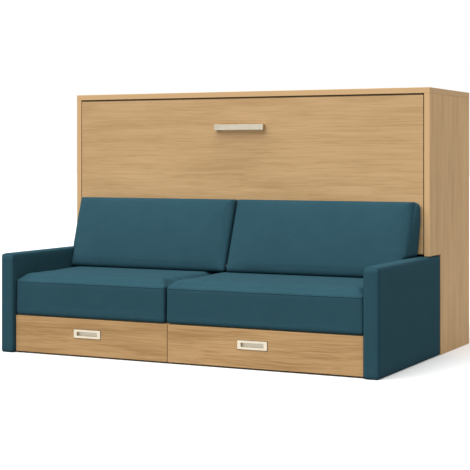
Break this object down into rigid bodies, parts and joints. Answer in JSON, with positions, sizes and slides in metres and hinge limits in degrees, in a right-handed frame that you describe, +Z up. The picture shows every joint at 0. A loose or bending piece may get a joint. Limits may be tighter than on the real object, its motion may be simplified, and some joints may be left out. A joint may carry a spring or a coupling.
{
  "type": "wall bed with sofa",
  "caption": "Cabinet bed that folds down sideways over a two-seat sofa, with back cushions that fold forward and drawers under the seat.",
  "frame": {"origin": "middle of the footprint of cabinet and sofa, on the floor", "axes": "+X along the width, to the right of someone who faces the sofa; +Y back to the wall; +Z up"},
  "size_m": [2.13, 1.43, 1.39],
  "materials": {
    "oak_laminate": "satin",
    "oak_inside": "matte",
    "teal_fabric": "matte",
    "champagne_nickel": "satin",
    "zinc_steel": "satin",
    "dark_tube": "satin",
    "strut_black": "gloss",
    "birch": "satin",
    "mattress_ticking": "matte",
    "strap_webbing": "matte"
  },
  "bodies": {
    "root": {"top_panel": "oak_laminate", "side_panel_left": "oak_laminate", "side_panel_right": "oak_laminate", "back_panel": "oak_inside", "bottom_panel": "oak_inside", "bed_shelf": "oak_inside", "lower_front_panel": "oak_inside", "wall_bracket_left": "zinc_steel", "wall_bracket_right": "zinc_steel", "pivot_plate_left": "zinc_steel", "pivot_plate_right": "zinc_steel", "strut_anchor_left": "zinc_steel", "strut_anchor_right": "zinc_steel", "base_side_left": "oak_inside", "base_side_right": "oak_inside", "base_divider": "oak_inside", "seat_deck": "oak_inside", "back_board": "oak_inside", "back_hinge_rod": "zinc_steel", "rod_centre_bracket": "zinc_steel", "arm_left": "teal_fabric", "arm_right": "teal_fabric", "seat_cushion_left": "teal_fabric", "seat_cushion_right": "teal_fabric", "drawer_rail_left_outer": "zinc_steel", "drawer_rail_left_inner": "zinc_steel", "drawer_rail_right_inner": "zinc_steel", "drawer_rail_right_outer": "zinc_steel"},
    "bed": {"door_panel": "oak_laminate", "door_handle": "champagne_nickel", "frame_end_left": "dark_tube", "frame_end_right": "dark_tube", "frame_rail_lower": "dark_tube", "frame_rail_upper": "dark_tube", "slat_base": "birch", "bed_plate_left": "zinc_steel", "bed_plate_right": "zinc_steel", "mattress": "mattress_ticking", "mattress_strap_left": "strap_webbing", "mattress_strap_right": "strap_webbing"},
    "back_left": {"back_cushion_left": "teal_fabric"},
    "back_right": {"back_cushion_right": "teal_fabric"},
    "strut_cylinder_left": {"strut_cylinder_left": "strut_black"},
    "strut_rod_left": {"strut_rod_left": "zinc_steel"},
    "strut_cylinder_right": {"strut_cylinder_right": "strut_black"},
    "strut_rod_right": {"strut_rod_right": "zinc_steel"},
    "drawer_left": {"drawer_left_front": "oak_laminate", "drawer_left_pull": "champagne_nickel", "drawer_left_side_left": "birch", "drawer_left_side_right": "birch", "drawer_left_bottom": "birch", "drawer_left_back": "birch"},
    "drawer_right": {"drawer_right_front": "oak_laminate", "drawer_right_pull": "champagne_nickel", "drawer_right_side_left": "birch", "drawer_right_side_right": "birch", "drawer_right_bottom": "birch", "drawer_right_back": "birch"}
  },
  "joints": [
    {"name": "bed_fold", "type": "hinge", "parent": "root", "child": "bed", "pos_m": [0, 0.075, 0.68498], "axis": [1, 0, 0], "range_deg": [0, 90]},
    {"name": "drawer_left_slide", "type": "slide", "parent": "root", "child": "drawer_left", "axis": [0, -1, 0], "range_m": [0, 0.42]},
    {"name": "drawer_right_slide", "type": "slide", "parent": "root", "child": "drawer_right", "axis": [0, -1, 0], "range_m": [0, 0.42]},
    {"name": "back_left_fold", "type": "hinge", "parent": "root", "child": "back_left", "pos_m": [-0.497, -0.14115, 0.448], "axis": [1, 0, 0], "range_deg": [0, 105]},
    {"name": "back_right_fold", "type": "hinge", "parent": "root", "child": "back_right", "pos_m": [0.489, -0.14115, 0.448], "axis": [1, 0, 0], "range_deg": [0, 105]},
    {"name": "strut_left_swing", "type": "hinge", "parent": "root", "child": "strut_cylinder_left", "pos_m": [-1.006, 0.165, 1.08998], "axis": [1, 0, 0], "range_deg": [0, 4.83]},
    {"name": "strut_left_slide", "type": "slide", "parent": "strut_cylinder_left", "child": "strut_rod_left", "axis": [0, 0.124, 0.9923], "range_m": [0, 0.10844]},
    {"name": "strut_right_swing", "type": "hinge", "parent": "root", "child": "strut_cylinder_right", "pos_m": [1.006, 0.165, 1.08998], "axis": [1, 0, 0], "range_deg": [0, 4.83]},
    {"name": "strut_right_slide", "type": "slide", "parent": "strut_cylinder_right", "child": "strut_rod_right", "axis": [0, 0.124, 0.9923], "range_m": [0, 0.10844]}
  ],
  "couplings": [
    {"joint": "back_left_fold", "follows": "bed_fold", "ratio": 1.1667},
    {"joint": "back_right_fold", "follows": "bed_fold", "ratio": 1.1667},
    {"joint": "strut_left_swing", "follows": "bed_fold", "ratio": 0.053716},
    {"joint": "strut_left_slide", "follows": "bed_fold", "m_per_rad": 0.069032},
    {"joint": "strut_right_swing", "follows": "bed_fold", "ratio": 0.053716},
    {"joint": "strut_right_slide", "follows": "bed_fold", "m_per_rad": 0.069032}
  ]
}
